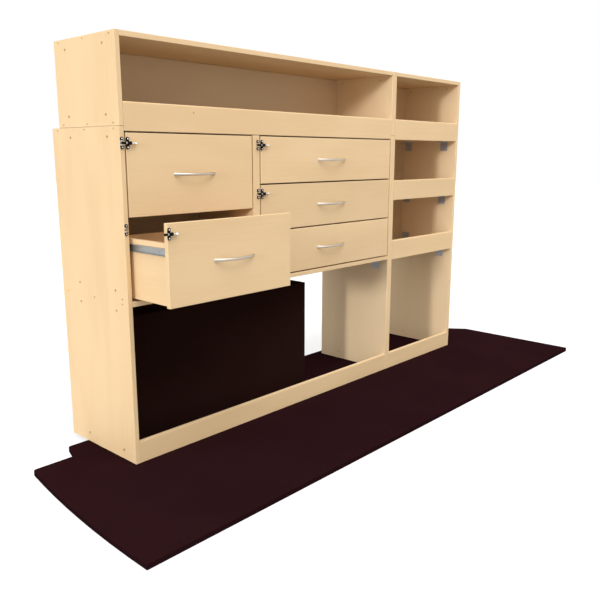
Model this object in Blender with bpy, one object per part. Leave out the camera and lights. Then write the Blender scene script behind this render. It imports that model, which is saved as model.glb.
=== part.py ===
"""A van racking system: two plywood units side by side on a van floor panel, with five drawers.

The rack's own corner, front left and on top of the floor panel, is the zero that the sizes below
count from: x runs along the rack, y from its front to its back and z up. An empty then carries the
whole rack so that the floor panel's underside is at z = 0 with its middle at the world's origin.
"""

import math

import bmesh
import bpy
from mathutils import Matrix, Vector

# Clearances that more than one piece uses
touch = 0.0003
seat = 0.0006
overrun = 0.01

# Carcass: two lower units with a shallower upper unit on each
board = 0.015
drawer_unit_width = 1.302
shelf_unit_width = 0.523
lower_height = 1.0
upper_height = 0.25
lower_depth = 0.365
upper_depth = 0.3215
clear_depth = 0.2875
back_board = 0.009
edge_round = 0.0008

# Lips in front of the shelves, and the plinths
lip_height = 0.081
lip_over_drawers_lift = 0.002
lip_round = 0.004
lip_round_steps = 3
plinth_height = 0.068

# Inside the drawer unit
deck_over_arch = 0.0685
left_column_width = 0.4905
partition_thickness = 0.030

# Inside the shelf unit: from the top's underside to the upper shelf's, and on to the lower shelf's
upper_shelf_drop = 0.248
lower_shelf_drop = 0.252

# Floor panel that the rack is bolted to
floor_thickness = 0.015
floor_left_overhang = 0.2835
floor_right_overhang = 0.353
floor_front_overhang = 0.456
floor_back_overhang = 0.0315
floor_left_draw_in = 0.052
floor_left_back_margin = 0.168
floor_step_width = 0.135
floor_step_depth = 0.077
floor_step_slant = 0.021
floor_corner_radius = 0.012
floor_corner_steps = 4
floor_bow_steps = 8
floor_corner_cut_width = 0.223
floor_corner_cut_depth = 0.3015

# Wheel arch cover in the left bay, and the cut-out under it
arch_board = 0.012
arch_cover_length = 0.9150
arch_cover_front = 0.150
arch_cover_height = 0.419
arch_cut_margin_left = 0.090
arch_cut_margin_right = 0.020
arch_cut_margin_front = 0.020
arch_cut_radius = 0.030

# Corner brackets between the panels and the boards
bracket_leg = 0.043
bracket_width = 0.037
bracket_plate = 0.0025
bracket_fillet = 0.006
bracket_fillet_steps = 3
bracket_front_place = 0.0625
bracket_back_gap = 0.0275

# Drawers
front_gap = 0.005
front_thickness = 0.015
box_wall = 0.012
box_base = 0.006
box_base_recess = 0.008
box_drop = 0.056
box_lift = 0.003
box_length = 0.255
drawer_pulled_out = 0.173

# Runners: an outer channel on the carcass and an inner channel on the drawer
runner_space = 0.0127
runner_length = 0.250
runner_front_gap = 0.004
runner_wall = 0.0012
runner_outer_height = 0.030
runner_outer_depth = 0.0095
runner_inner_height = 0.022
runner_inner_depth = 0.0085
runner_lip_gap = 0.0004
runner_bend = 0.0012
runner_bend_steps = 2
runner_below_box_top = 0.0245

# Handles: chrome bows
handle_length = 0.165
handle_projection = 0.026
handle_foot_height = 0.0115
handle_foot_thickness = 0.0045
handle_waist_height = 0.0085
handle_waist_thickness = 0.0060
handle_stations = 18
handle_sides = 10

# Latches: a black body with a sprung bolt on the drawer, a keeper on the stile beside it
latch_below_top = 0.0285
latch_from_edge = 0.0040
latch_screw_spacing = 0.0235
latch_lobe_radius = 0.0049
latch_plate = 0.0015
latch_lobe_height = 0.0032
latch_barrel_radius = 0.0050
latch_barrel_left = 0.0045
latch_barrel_right = 0.0092
latch_round_sides = 16
latch_block_share = 0.8
bolt_radius = 0.0036
bolt_nose_reach = 0.0149
bolt_nose_bevel = 0.0010
bolt_clearance = 0.0003
knob_collar_radius = 0.0033
knob_collar_length = 0.0048
knob_neck_radius = 0.0022
knob_neck_length = 0.0042
knob_radius = 0.0042
knob_length = 0.0085
knob_round = 0.0015
knob_round_steps = 3
keeper_from_edge = 0.0095
keeper_cheek_height = 0.0078
keeper_cheek_gap = 0.0004

# Sizes that follow from the ones above
rack_width = drawer_unit_width + shelf_unit_width
rack_height = lower_height + upper_height
deck_bottom = arch_cover_height + deck_over_arch
deck_top = deck_bottom + board
lower_top_bottom = lower_height - board
upper_shelf_height = lower_top_bottom - upper_shelf_drop
lower_shelf_height = upper_shelf_height - lower_shelf_drop
upper_base_top = lower_height + board
lip_over_drawers = lower_top_bottom + lip_over_drawers_lift
drawer_space_height = lip_over_drawers - deck_top
left_column_start = board
left_column_end = board + left_column_width
right_column_start = left_column_end + partition_thickness
right_column_end = drawer_unit_width - board
handle_radius = (handle_length ** 2 / 4 + handle_projection ** 2) / (2 * handle_projection)
bolt_axis_out = latch_plate + latch_barrel_radius


def clear_scene():
    for old in list(bpy.data.objects):
        bpy.data.objects.remove(old, do_unlink=True)


def make_material(name, colour, roughness, metallic):
    made = bpy.data.materials.new(name)
    made.use_nodes = True
    shader = made.node_tree.nodes["Principled BSDF"]
    shader.inputs["Base Color"].default_value = (*colour, 1.0)
    shader.inputs["Roughness"].default_value = roughness
    shader.inputs["Metallic"].default_value = metallic
    return made


def make_materials():
    return {
        "plywood": make_material("maple_faced_plywood", (0.78, 0.60, 0.40), 0.45, 0.0),
        "back": make_material("maple_faced_back_board", (0.72, 0.55, 0.36), 0.50, 0.0),
        "drawer": make_material("drawer_plywood", (0.82, 0.67, 0.48), 0.50, 0.0),
        "floor": make_material("brown_phenolic_floor", (0.030, 0.020, 0.020), 0.45, 0.0),
        "cover": make_material("brown_phenolic_cover", (0.026, 0.018, 0.018), 0.50, 0.0),
        "chrome": make_material("polished_chrome", (0.85, 0.86, 0.88), 0.12, 1.0),
        "black": make_material("black_nylon", (0.015, 0.015, 0.016), 0.40, 0.0),
        "bolt": make_material("plated_bolt", (0.70, 0.72, 0.75), 0.20, 1.0),
    }


def add_object(name, mesh, material, parent):
    made = bpy.data.objects.new(name, mesh)
    bpy.context.scene.collection.objects.link(made)
    made.parent = parent
    if material is not None:
        mesh.materials.append(material)
    return made


def mesh_from(shape, name):
    """The bmesh as a finished mesh, with its faces turned outwards."""
    bmesh.ops.recalc_face_normals(shape, faces=shape.faces)
    mesh = bpy.data.meshes.new(name)
    shape.to_mesh(mesh)
    shape.free()
    return mesh


def add_box(shape, low, high):
    """A box between two corners, as its own shell in the bmesh."""
    low = Vector(low)
    high = Vector(high)
    size = high - low
    place = Matrix.Translation((low + high) / 2) @ Matrix.Diagonal((*size, 1))
    return bmesh.ops.create_cube(shape, size=1, matrix=place)["verts"]


def add_prism(shape, outline, direction, length):
    """A closed outline of points pushed along a direction, as its own shell in the bmesh."""
    corners = [shape.verts.new(point) for point in outline]
    face = shape.faces.new(corners)
    pushed = bmesh.ops.extrude_face_region(shape, geom=[face])["geom"]
    moved = [item for item in pushed if isinstance(item, bmesh.types.BMVert)]
    bmesh.ops.translate(shape, verts=moved, vec=Vector(direction) * length)
    return corners + moved


def add_rings(shape, rings):
    """A tube through rings of points with as many points each, closed by a face at both ends."""
    loops = [[shape.verts.new(point) for point in ring] for ring in rings]
    for first, second in zip(loops, loops[1:]):
        for index in range(len(first)):
            after = (index + 1) % len(first)
            shape.faces.new((first[index], first[after], second[after], second[index]))
    shape.faces.new(loops[0])
    shape.faces.new(list(reversed(loops[-1])))


def arc(centre, radius, start, end, steps):
    """Points along an arc in a plane, both ends included. Angles are in degrees."""
    points = []
    for step in range(steps + 1):
        angle = math.radians(start + (end - start) * step / steps)
        points.append((centre[0] + radius * math.cos(angle), centre[1] + radius * math.sin(angle)))
    return points


def bevel_edges(piece, width, steps):
    bevel = piece.modifiers.new("edge_round", "BEVEL")
    bevel.width = width
    bevel.segments = steps
    bevel.limit_method = "ANGLE"


def union_with(piece, helper):
    """Joins a hidden helper's shells onto a piece that they are sunk into by the seat."""
    helper.hide_render = True
    helper.display_type = "WIRE"
    joined = piece.modifiers.new("fittings", "BOOLEAN")
    joined.operation = "UNION"
    joined.solver = "EXACT"
    joined.object = helper


def cut_with(piece, helper, name):
    helper.hide_render = True
    helper.display_type = "WIRE"
    cut = piece.modifiers.new(name, "BOOLEAN")
    cut.operation = "DIFFERENCE"
    cut.solver = "EXACT"
    cut.object = helper


def make_board(name, low, high, material, parent):
    """A flat board with slightly eased edges."""
    shape = bmesh.new()
    add_box(shape, low, high)
    piece = add_object(name, mesh_from(shape, name), material, parent)
    bevel_edges(piece, edge_round, 1)
    return piece


def make_lip(name, left, right, bottom, top, material, parent):
    """A board on edge in front of a shelf, with its upper front edge rounded over."""
    front = 0.0
    back = board
    corner = arc((lip_round, top - lip_round), lip_round, 180, 90, lip_round_steps)
    outline = [(left, y, z) for y, z in [(front, bottom), *corner, (back, top), (back, bottom)]]
    shape = bmesh.new()
    add_prism(shape, outline, (1, 0, 0), right - left)
    return add_object(name, mesh_from(shape, name), material, parent)


def bracket_outline(face_x, side, face_z, up):
    """The bent L of a corner bracket, seen from the front: one leg on the panel, one on the board."""
    fillet_middle = bracket_plate + bracket_fillet
    inner = arc((fillet_middle, fillet_middle), bracket_fillet, 270, 180, bracket_fillet_steps)
    outline = [(-seat, 0), (bracket_leg, 0), (bracket_leg, bracket_plate), *inner]
    outline += [(bracket_plate, bracket_leg), (-seat, bracket_leg)]
    return [(face_x + side * out, face_z + up * (touch + rise)) for out, rise in outline]


def add_brackets(shape, face_x, side, levels, back_place):
    """The front and the back bracket at each level. A level is a board's face and which way is free."""
    for face_z, up in levels:
        for middle in (bracket_front_place, back_place):
            outline = bracket_outline(face_x, side, face_z, up)
            start = middle - bracket_width / 2
            add_prism(shape, [(x, start, z) for x, z in outline], (0, 1, 0), bracket_width)


def rounded_channel(height, depth, lip):
    """A rolled channel's outline as (out, up) from the middle of its back, open away from the back.

    The flanges end in lips of the given length that turn back towards the middle.
    """
    half = height / 2
    wall = runner_wall
    bend = runner_bend
    upper_outer = arc((depth - bend, half - bend), bend, 90, 0, runner_bend_steps)
    upper = [(-seat, half), *upper_outer]
    if lip > wall:
        upper += [(depth, half - lip), (depth - wall, half - lip), (depth - wall, half - wall)]
    else:
        upper += [(depth, half - wall)]
    upper += [(wall, half - wall)]
    lower = [(out, -rise) for out, rise in reversed(upper)]
    return upper + lower


def runner_middle(box_top):
    return box_top - runner_below_box_top


def add_outer_runner(shape, face_x, side, middle_z):
    """The carcass channel of a runner, its lips closing on the inner channel."""
    lip = (runner_outer_height - runner_inner_height) / 2 - runner_lip_gap
    outline = rounded_channel(runner_outer_height, runner_outer_depth, lip)
    start = front_thickness + runner_front_gap
    points = [(face_x + side * out, start, middle_z + rise) for out, rise in outline]
    add_prism(shape, points, (0, 1, 0), runner_length)


def add_inner_runner(shape, face_x, side, middle_z):
    """The drawer channel of a runner, which slides inside the lips of the outer one."""
    outline = rounded_channel(runner_inner_height, runner_inner_depth, 0)
    start = front_thickness + runner_front_gap
    points = [(face_x + side * out, start, middle_z + rise) for out, rise in outline]
    add_prism(shape, points, (0, 1, 0), runner_length)


def column_drawers(count):
    """Bottom and top of each front in a column, from the top one down."""
    height = (drawer_space_height - (count + 1) * front_gap) / count
    spans = []
    for index in range(count):
        top = lip_over_drawers - front_gap - index * (height + front_gap)
        spans.append((top - height, top))
    return spans


def drawer_layout():
    """Every drawer: its name, its column's sides, its front's bottom and top, how far it stands open."""
    drawers = []
    number = 1
    columns = (
        (left_column_start, left_column_end, 2, 1),
        (right_column_start, right_column_end, 3, None),
    )
    for start, end, count, opened in columns:
        for index, (bottom, top) in enumerate(column_drawers(count)):
            pulled = drawer_pulled_out if index == opened else 0.0
            drawers.append((f"drawer_{number}", start, end, bottom, top, pulled))
            number += 1
    return drawers


def make_side_panel(name, left, bottom, top, depth, fittings, material, parent):
    """An upright panel with its brackets and runners joined on."""
    panel = make_board(name, (left, 0, bottom), (left + board, depth, top), material, parent)
    if fittings is not None:
        union_with(panel, add_object(name + "_fittings", mesh_from(fittings, name), None, parent))
    return panel


def make_drawer_unit(finish, drawers, parent):
    """The wide lower unit: two panels, a top, a deck over the open bay, a partition and a back."""
    inside_left = board
    inside_right = drawer_unit_width - board
    levels = [(lower_top_bottom, -1), (deck_bottom, -1)]
    back_place = clear_depth - bracket_back_gap
    for side, face_x, panel_left, name in (
        (1, inside_left, 0.0, "drawer_unit_left_side"),
        (-1, inside_right, inside_right, "drawer_unit_right_side"),
    ):
        fittings = bmesh.new()
        add_brackets(fittings, face_x, side, levels, back_place)
        for _, start, end, bottom, top, _ in drawers:
            if face_x in (start, end):
                add_outer_runner(fittings, face_x, side, runner_middle(top - box_drop))
        make_side_panel(name, panel_left, 0.0, lower_height, lower_depth, fittings, finish["plywood"], parent)

    left = inside_left + touch
    right = inside_right - touch
    behind_lip = board + touch
    top_low = (left, behind_lip, lower_top_bottom)
    top_high = (right, lower_depth, lower_height - touch)
    make_board("drawer_unit_top", top_low, top_high, finish["plywood"], parent)
    deck_high = (right, lower_depth, deck_top)
    make_board("drawer_unit_deck", (left, 0, deck_bottom), deck_high, finish["plywood"], parent)
    plinth_high = (right, board, plinth_height)
    make_board("drawer_unit_plinth", (left, 0, touch), plinth_high, finish["plywood"], parent)

    standing = deck_top + touch
    hanging = lower_top_bottom - touch
    back_low = (left, clear_depth, standing)
    back_high = (right, clear_depth + back_board, hanging)
    make_board("drawer_unit_back", back_low, back_high, finish["back"], parent)

    fittings = bmesh.new()
    for _, start, end, bottom, top, _ in drawers:
        if end == left_column_end:
            add_outer_runner(fittings, left_column_end, -1, runner_middle(top - box_drop))
        if start == right_column_start:
            add_outer_runner(fittings, right_column_start, 1, runner_middle(top - box_drop))
    low = (left_column_end, 0, standing)
    high = (right_column_start, clear_depth - touch, hanging)
    partition = make_board("drawer_unit_partition", low, high, finish["plywood"], parent)
    helper = add_object("partition_fittings", mesh_from(fittings, "partition_fittings"), None, parent)
    union_with(partition, helper)


def make_shelf_unit(finish, parent):
    """The narrow lower unit: two panels, a top and two shelves with lips, a plinth and a back."""
    unit_left = drawer_unit_width + touch
    inside_left = unit_left + board
    inside_right = rack_width - board
    under = [(lower_top_bottom, -1), (upper_shelf_height, -1), (lower_shelf_height, -1)]
    over = [(upper_shelf_height + board, 1), (lower_shelf_height + board, 1)]
    back_place = clear_depth - bracket_back_gap
    for side, face_x, panel_left, name in (
        (1, inside_left, unit_left, "shelf_unit_left_side"),
        (-1, inside_right, inside_right, "shelf_unit_right_side"),
    ):
        fittings = bmesh.new()
        add_brackets(fittings, face_x, side, under + over, back_place)
        make_side_panel(name, panel_left, 0.0, lower_height, lower_depth, fittings, finish["plywood"], parent)

    left = inside_left + touch
    right = inside_right - touch
    behind_lip = board + touch
    top_high = (right, lower_depth, lower_height - touch)
    make_board("shelf_unit_top", (left, behind_lip, lower_top_bottom), top_high, finish["plywood"], parent)
    shelves = (
        ("upper", upper_shelf_height, clear_depth - touch),
        ("lower", lower_shelf_height, lower_depth),
    )
    for word, height, depth in shelves:
        shelf_high = (right, depth, height + board)
        shelf_low = (left, behind_lip, height)
        make_board(f"shelf_unit_{word}_shelf", shelf_low, shelf_high, finish["plywood"], parent)
        lip_top = height + lip_height
        make_lip(f"shelf_unit_{word}_lip", left, right, height, lip_top, finish["plywood"], parent)
    plinth_high = (right, board, plinth_height)
    make_board("shelf_unit_plinth", (left, 0, touch), plinth_high, finish["plywood"], parent)
    back_low = (left, clear_depth, lower_shelf_height + board + touch)
    back_high = (right, clear_depth + back_board, lower_top_bottom - touch)
    make_board("shelf_unit_back", back_low, back_high, finish["back"], parent)


def make_upper_unit(word, unit_left, unit_right, lip_bottom, finish, parent):
    """A shallow open cubby: two panels, a base and a top, a back, and a lip over both units' boards."""
    inside_left = unit_left + board
    inside_right = unit_right - board
    bottom = lower_height + touch
    levels = [(upper_base_top, 1)]
    back_place = clear_depth - bracket_back_gap
    for side, face_x, panel_left, name in (
        (1, inside_left, unit_left, f"{word}_left_side"),
        (-1, inside_right, inside_right, f"{word}_right_side"),
    ):
        fittings = bmesh.new()
        add_brackets(fittings, face_x, side, levels, back_place)
        make_side_panel(
            name, panel_left, bottom, rack_height, upper_depth, fittings, finish["plywood"], parent
        )

    left = inside_left + touch
    right = inside_right - touch
    under_top = rack_height - board
    behind_lip = board + touch
    base_high = (right, upper_depth, upper_base_top)
    top_high = (right, upper_depth, rack_height)
    make_board(f"{word}_top", (left, 0, under_top), top_high, finish["plywood"], parent)
    make_board(f"{word}_base", (left, behind_lip, bottom), base_high, finish["plywood"], parent)
    back_low = (left, clear_depth, upper_base_top + touch)
    back_high = (right, clear_depth + back_board, under_top - touch)
    make_board(f"{word}_back", back_low, back_high, finish["back"], parent)
    lip_top = lower_top_bottom + lip_height
    make_lip(f"{word}_lip", left, right, lip_bottom, lip_top, finish["plywood"], parent)


def floor_outline():
    """The floor panel from above: a bowed left end, a stepped back edge, an arch cut-out, a cut corner."""
    front = -floor_front_overhang
    back = lower_depth + floor_back_overhang
    right = rack_width + floor_right_overhang
    left_back = lower_depth - floor_left_back_margin
    radius = floor_corner_radius
    steps = floor_corner_steps
    bow_end = left_back - radius
    points = []
    for step in range(floor_bow_steps + 1):
        share = step / floor_bow_steps
        x = -floor_left_overhang + floor_left_draw_in * share ** 2
        points.append((x, front + (bow_end - front) * share))
    left_end = -floor_left_overhang + floor_left_draw_in
    points += arc((left_end + radius, left_back - radius), radius, 180, 90, steps)[1:]
    step_foot = -floor_left_overhang + floor_left_draw_in + floor_step_width
    step_top = step_foot + floor_step_slant
    step_back = left_back + floor_step_depth
    points.append((step_foot, left_back))
    points += arc((step_top + radius, step_back - radius), radius, 180, 90, steps)
    cut_left = board + arch_cut_margin_left
    cut_right = board + arch_cover_length - arch_board - arch_cut_margin_right
    cut_front = arch_cover_front + arch_board + arch_cut_margin_front
    cut_radius = arch_cut_radius
    points.append((cut_left, step_back))
    points += arc((cut_left + cut_radius, cut_front + cut_radius), cut_radius, 180, 270, steps)
    points += arc((cut_right - cut_radius, cut_front + cut_radius), cut_radius, 270, 360, steps)
    points.append((cut_right, back))
    points.append((right - floor_corner_cut_width, back))
    points.append((right, back - floor_corner_cut_depth))
    points += arc((right - radius, front + radius), radius, 0, -90, steps)
    return points


def make_floor_panel(finish, parent):
    shape = bmesh.new()
    outline = [(x, y, -touch) for x, y in floor_outline()]
    add_prism(shape, outline, (0, 0, -1), floor_thickness - touch)
    add_object("floor_panel", mesh_from(shape, "floor_panel"), finish["floor"], parent)


def make_arch_cover(finish, parent):
    """Three boards round the wheel arch: front, top and right end. The unit's side closes the left."""
    left = board + touch
    right = board + arch_cover_length
    low = (left, arch_cover_front, 0)
    high = (right, lower_depth, arch_cover_height)
    cover = make_board("wheel_arch_cover", low, high, finish["cover"], parent)
    hollow = bmesh.new()
    hollow_low = (left - overrun, arch_cover_front + arch_board, -overrun)
    hollow_high = (right - arch_board, lower_depth + overrun, arch_cover_height - arch_board)
    add_box(hollow, hollow_low, hollow_high)
    helper = add_object("wheel_arch_hollow", mesh_from(hollow, "wheel_arch_hollow"), None, parent)
    cut_with(cover, helper, "wheel_arch_hollow")


def make_drawer_box(name, left, right, bottom, top, finish, parent):
    """A plywood tray with its base let in above the lower edge, and the inner runners on its sides."""
    low = Vector((left, front_thickness + touch, bottom))
    high = Vector((right, front_thickness + touch + box_length, top))
    wall = Vector((box_wall, box_wall, 0))
    box = make_board(f"{name}_box", low, high, finish["drawer"], parent)
    base_under = bottom + box_base_recess
    hollow = bmesh.new()
    hollow_low = Vector((0, 0, base_under + box_base)) + Vector((low.x, low.y, 0)) + wall
    hollow_high = Vector((high.x, high.y, top + overrun)) - wall
    add_box(hollow, hollow_low, hollow_high)
    recess_low = Vector((low.x, low.y, bottom - overrun)) + wall
    recess_high = Vector((high.x, high.y, base_under)) - wall
    add_box(hollow, recess_low, recess_high)
    helper = add_object(f"{name}_hollow", mesh_from(hollow, f"{name}_hollow"), None, parent)
    cut_with(box, helper, "drawer_hollow")
    runners = bmesh.new()
    add_inner_runner(runners, left, -1, runner_middle(top))
    add_inner_runner(runners, right, 1, runner_middle(top))
    helper = add_object(f"{name}_runners", mesh_from(runners, f"{name}_runners"), None, parent)
    union_with(box, helper)


def make_handle(name, middle_x, middle_z, finish, parent):
    """A bow handle: an oval bar along a shallow arc, wider and thinner at its two feet."""
    centre_out = handle_projection - handle_radius
    half_angle = math.asin(handle_length / 2 / handle_radius)
    rings = []
    for station in range(handle_stations + 1):
        share = 2 * station / handle_stations - 1
        angle = half_angle * share
        towards_foot = share ** 2
        height = handle_waist_height + (handle_foot_height - handle_waist_height) * towards_foot
        thickness = handle_waist_thickness + (handle_foot_thickness - handle_waist_thickness) * towards_foot
        ring = []
        for side in range(handle_sides):
            turn = 2 * math.pi * side / handle_sides
            radius = handle_radius + thickness / 2 * (math.cos(turn) - 1)
            out = max(centre_out + radius * math.cos(angle), touch)
            ring.append((
                middle_x + radius * math.sin(angle),
                -out,
                middle_z + height / 2 * math.sin(turn),
            ))
        rings.append(ring)
    shape = bmesh.new()
    add_rings(shape, rings)
    handle = add_object(f"{name}_handle", mesh_from(shape, f"{name}_handle"), finish["chrome"], parent)
    handle.data.shade_smooth()
    handle.data.set_sharp_from_angle(angle=math.radians(50))


def stadium(middle_x, middle_z, half_height, radius, sides):
    """An upright slot shape, seen from the front."""
    upper = arc((middle_x, middle_z + half_height), radius, 0, 180, sides // 2)
    lower = arc((middle_x, middle_z - half_height), radius, 180, 360, sides // 2)
    return upper + lower


def disc(middle_a, middle_b, radius, sides):
    """The points of a circle in a plane, each once."""
    return arc((middle_a, middle_b), radius, 0, 360 - 360 / sides, sides - 1)


def add_lobes(shape, middle_x, middle_z, base_out):
    """The two round ends that the latch's screws go through."""
    for up in (-1, 1):
        centre_z = middle_z + up * latch_screw_spacing / 2
        outline = disc(middle_x, centre_z, latch_lobe_radius, latch_round_sides)
        points = [(x, -touch, z) for x, z in outline]
        add_prism(shape, points, (0, -1, 0), base_out)


def make_union(name, parts, material, parent):
    """One piece from overlapping closed shells: the first carries the others as joined helpers."""
    piece = add_object(name, mesh_from(parts[0], name), material, parent)
    for index, part in enumerate(parts[1:]):
        helper = add_object(f"{name}_part_{index}", mesh_from(part, f"{name}_part_{index}"), None, parent)
        union_with(piece, helper)
    return piece


def make_latch_body(name, middle_x, middle_z, finish, parent):
    """The latch's body: a slotted plate, two screw lobes and a barrel with a bore for the bolt."""
    half = latch_screw_spacing / 2
    plate = bmesh.new()
    outline = stadium(middle_x, middle_z, half, latch_lobe_radius, latch_round_sides)
    add_prism(plate, [(x, -touch, z) for x, z in outline], (0, -1, 0), latch_plate)
    lobes = bmesh.new()
    add_lobes(lobes, middle_x, middle_z, latch_lobe_height)
    barrel = bmesh.new()
    axis_y = -bolt_axis_out
    start = middle_x - latch_barrel_left
    circle = disc(axis_y, middle_z, latch_barrel_radius, latch_round_sides)
    length = latch_barrel_left + latch_barrel_right
    add_prism(barrel, [(start, y, z) for y, z in circle], (1, 0, 0), length)
    block = bmesh.new()
    half_block = latch_barrel_radius * latch_block_share
    block_low = (middle_x - latch_from_edge, axis_y, middle_z - half_block)
    block_high = (middle_x + latch_barrel_right - touch, -touch, middle_z + half_block)
    add_box(block, block_low, block_high)
    piece = make_union(f"{name}_latch_body", [plate, lobes, block, barrel], finish["black"], parent)

    bore = bmesh.new()
    hole = bolt_radius + bolt_clearance
    circle = disc(axis_y, middle_z, hole, latch_round_sides)
    add_prism(bore, [(start - overrun, y, z) for y, z in circle], (1, 0, 0), length + 2 * overrun)
    helper = add_object(f"{name}_latch_bore", mesh_from(bore, f"{name}_latch_bore"), None, parent)
    cut_with(piece, helper, "bolt_bore")


def make_bolt(name, middle_x, middle_z, finish, parent):
    """The latch's bolt, turned on its own axis: nose on the left, pull knob on the right."""
    nose = -latch_barrel_left - bolt_nose_reach
    shoulder = latch_barrel_right + touch
    collar_end = shoulder + knob_collar_length
    neck_end = collar_end + knob_neck_length
    knob_end = neck_end + knob_length
    rim = knob_radius - knob_round
    profile = [
        (nose, bolt_radius - bolt_nose_bevel),
        (nose + bolt_nose_bevel, bolt_radius),
        (shoulder, bolt_radius),
        (shoulder, knob_collar_radius),
        (collar_end, knob_collar_radius),
        (collar_end, knob_neck_radius),
        (neck_end, knob_neck_radius),
        (neck_end, rim),
    ]
    profile += arc((neck_end + knob_round, rim), knob_round, 180, 90, knob_round_steps)[1:]
    profile += arc((knob_end - knob_round, rim), knob_round, 90, 0, knob_round_steps)
    rings = []
    for along, radius in profile:
        ring = []
        for side in range(latch_round_sides):
            turn = 2 * math.pi * side / latch_round_sides
            ring.append((along, radius * math.cos(turn), radius * math.sin(turn)))
        rings.append(ring)
    shape = bmesh.new()
    add_rings(shape, rings)
    bolt = add_object(f"{name}_bolt", mesh_from(shape, f"{name}_bolt"), finish["bolt"], parent)
    bolt.location = (middle_x, -bolt_axis_out, middle_z)
    bolt.data.shade_smooth()
    bolt.data.set_sharp_from_angle(angle=math.radians(35))


def make_keeper(name, middle_x, middle_z, finish, parent):
    """The keeper on the stile: a plate with screw lobes and two cheeks that the bolt's nose lies between."""
    half = latch_screw_spacing / 2
    plate = bmesh.new()
    outline = stadium(middle_x, middle_z, half, latch_lobe_radius, latch_round_sides)
    add_prism(plate, [(x, -touch, z) for x, z in outline], (0, -1, 0), latch_plate)
    lobes = bmesh.new()
    add_lobes(lobes, middle_x, middle_z, latch_lobe_height)
    cheeks = bmesh.new()
    inner = bolt_radius + keeper_cheek_gap
    outer = half - latch_lobe_radius + seat
    for up in (-1, 1):
        heights = sorted((middle_z + up * inner, middle_z + up * outer))
        low = (middle_x - latch_lobe_radius + touch, -keeper_cheek_height, heights[0])
        high = (middle_x + latch_lobe_radius - touch, -touch - seat, heights[1])
        add_box(cheeks, low, high)
    make_union(f"{name}_keeper", [plate, lobes, cheeks], finish["black"], parent)


def make_drawer(drawer, finish, parent):
    """One drawer on its runners: an empty at its shut place carries the pieces that slide together."""
    name, start, end, bottom, top, pulled = drawer
    slide = bpy.data.objects.new(f"{name}_slide", None)
    bpy.context.scene.collection.objects.link(slide)
    slide.parent = parent
    slide.location = (0, -pulled, 0)
    left = start + front_gap
    right = end - front_gap
    front_high = (right, front_thickness, top)
    make_board(f"{name}_front", (left, 0, bottom), front_high, finish["plywood"], slide)
    box_left = start + runner_space
    box_right = end - runner_space
    make_drawer_box(name, box_left, box_right, bottom + box_lift, top - box_drop, finish, slide)
    make_handle(name, (left + right) / 2, (bottom + top) / 2, finish, slide)
    latch_z = top - latch_below_top
    latch_x = left + latch_from_edge
    make_latch_body(name, latch_x, latch_z, finish, slide)
    make_bolt(name, latch_x, latch_z, finish, slide)
    make_keeper(name, start - keeper_from_edge, latch_z, finish, parent)


def build():
    clear_scene()
    finish = make_materials()
    rack = bpy.data.objects.new("rack_corner", None)
    bpy.context.scene.collection.objects.link(rack)
    middle_x = (rack_width + floor_right_overhang - floor_left_overhang) / 2
    middle_y = (lower_depth + floor_back_overhang - floor_front_overhang) / 2
    rack.location = (-middle_x, -middle_y, floor_thickness)
    drawers = drawer_layout()
    make_floor_panel(finish, rack)
    make_arch_cover(finish, rack)
    make_drawer_unit(finish, drawers, rack)
    make_shelf_unit(finish, rack)
    split = drawer_unit_width + touch
    make_upper_unit("drawer_unit_cubby", 0.0, drawer_unit_width, lip_over_drawers, finish, rack)
    make_upper_unit("shelf_unit_cubby", split, rack_width, lower_top_bottom, finish, rack)
    for drawer in drawers:
        make_drawer(drawer, finish, rack)


build()
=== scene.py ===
import math

import bpy
from mathutils import Matrix, Vector


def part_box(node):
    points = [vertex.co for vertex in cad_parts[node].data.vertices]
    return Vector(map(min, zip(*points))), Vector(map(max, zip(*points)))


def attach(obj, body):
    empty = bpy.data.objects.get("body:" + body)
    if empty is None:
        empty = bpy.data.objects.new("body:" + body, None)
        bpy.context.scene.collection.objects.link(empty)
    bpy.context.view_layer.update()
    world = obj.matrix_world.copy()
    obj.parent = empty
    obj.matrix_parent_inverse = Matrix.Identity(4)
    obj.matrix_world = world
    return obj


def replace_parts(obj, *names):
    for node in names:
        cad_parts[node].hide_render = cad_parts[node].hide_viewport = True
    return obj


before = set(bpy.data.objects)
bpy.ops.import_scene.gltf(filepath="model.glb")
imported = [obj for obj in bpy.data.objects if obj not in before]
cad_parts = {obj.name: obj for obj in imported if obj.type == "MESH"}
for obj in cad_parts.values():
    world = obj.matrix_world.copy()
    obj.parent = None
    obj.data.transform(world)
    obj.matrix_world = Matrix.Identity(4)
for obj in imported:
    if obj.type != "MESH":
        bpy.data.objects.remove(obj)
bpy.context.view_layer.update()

bpy.ops.object.select_all(action="DESELECT")


# ---- Floor panel -------------------------------------------------------------------------------
# One sheet of floor-grade plywood, faced on both sides with dark brown phenolic film and with its
# edges sealed in the same brown. The rack stands on it, and it is cut out over the wheel arch.

def new_finish(name):
    """A material, its node tree and its shader."""
    made = bpy.data.materials.new(name)
    made.use_nodes = True
    return made, made.node_tree, made.node_tree.nodes["Principled BSDF"]


def put(tree, kind, values=None, **settings):
    """One node. Values go to its inputs by name or number, settings to its own fields."""
    made = tree.nodes.new(kind)
    for field, value in settings.items():
        setattr(made, field, value)
    for socket, value in (values or {}).items():
        if isinstance(value, bpy.types.NodeSocket):
            tree.links.new(value, made.inputs[socket])
        else:
            made.inputs[socket].default_value = value
    return made


def maths(tree, operation, *values):
    return put(tree, "ShaderNodeMath", dict(enumerate(values)), operation=operation).outputs[0]


def place(tree):
    """Where a point is on the object, in metres."""
    return put(tree, "ShaderNodeTexCoord").outputs["Object"]


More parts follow.
